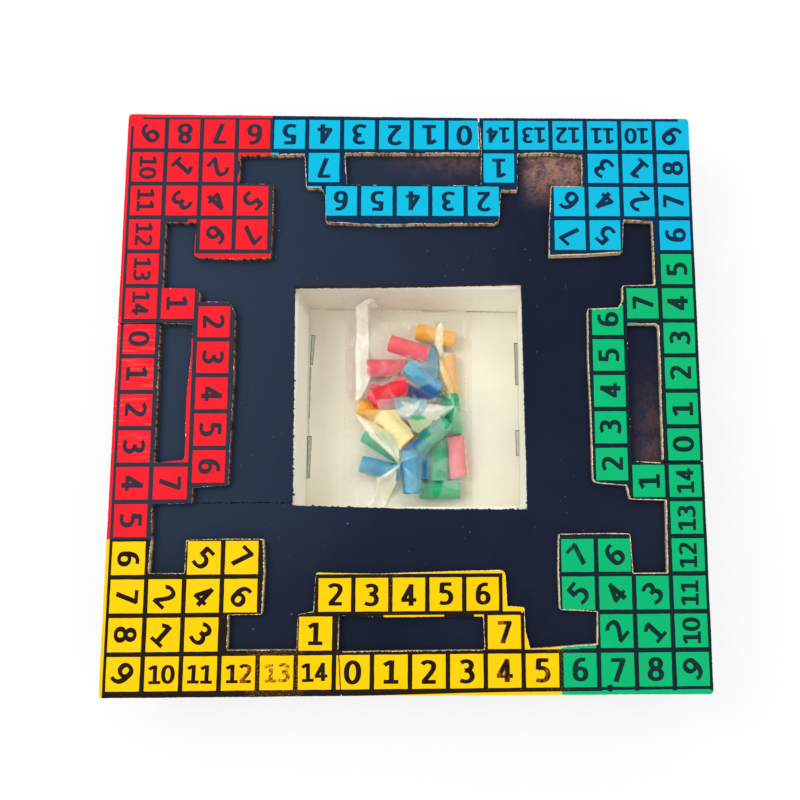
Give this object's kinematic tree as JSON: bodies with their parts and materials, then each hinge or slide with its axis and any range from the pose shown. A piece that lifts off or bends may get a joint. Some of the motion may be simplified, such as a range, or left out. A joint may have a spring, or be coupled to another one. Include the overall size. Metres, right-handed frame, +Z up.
{
  "type": "race board game box",
  "caption": "Square game case with a fretwork number track on a black deck and a carton well that holds wooden pegs in a clear bag.",
  "frame": {"origin": "middle of the underside of the bottom panel", "axes": "+X towards the right side rail, +Y towards the far side rail, +Z up out of the deck; the board lies flat"},
  "size_m": [0.4, 0.4, 0.063],
  "materials": {
    "raw_board": "bare fibreboard",
    "black_paint": "matt blue-black painted board",
    "printed_board": "fibreboard with a printed, slightly worn top in four colours",
    "white_carton": "matt uncoated white",
    "clear_film": "clear glossy film",
    "yellow_paint": "stained wooden dowel",
    "red_paint": "stained wooden dowel",
    "blue_paint": "stained wooden dowel",
    "green_paint": "stained wooden dowel"
  },
  "bodies": {
    "board": {"bottom_panel": "raw_board", "near_side_rail": "black_paint", "far_side_rail": "black_paint", "left_side_rail": "black_paint", "right_side_rail": "black_paint", "black_deck": "black_paint", "number_track": "printed_board", "carton_well": "white_carton"},
    "bag": {"piece_bag": "clear_film", "yellow_peg_1": "yellow_paint", "yellow_peg_2": "yellow_paint", "yellow_peg_3": "yellow_paint", "yellow_peg_4": "yellow_paint", "yellow_peg_5": "yellow_paint", "red_peg_1": "red_paint", "red_peg_2": "red_paint", "red_peg_3": "red_paint", "red_peg_4": "red_paint", "red_peg_5": "red_paint", "blue_peg_1": "blue_paint", "blue_peg_2": "blue_paint", "blue_peg_3": "blue_paint", "blue_peg_4": "blue_paint", "blue_peg_5": "blue_paint", "green_peg_1": "green_paint", "green_peg_2": "green_paint", "green_peg_3": "green_paint", "green_peg_4": "green_paint", "green_peg_5": "green_paint"}
  },
  "joints": [
    {"name": "bag_lift", "type": "slide", "parent": "board", "child": "bag", "axis": [0, 0, 1], "range_m": [0, 0.12]}
  ]
}
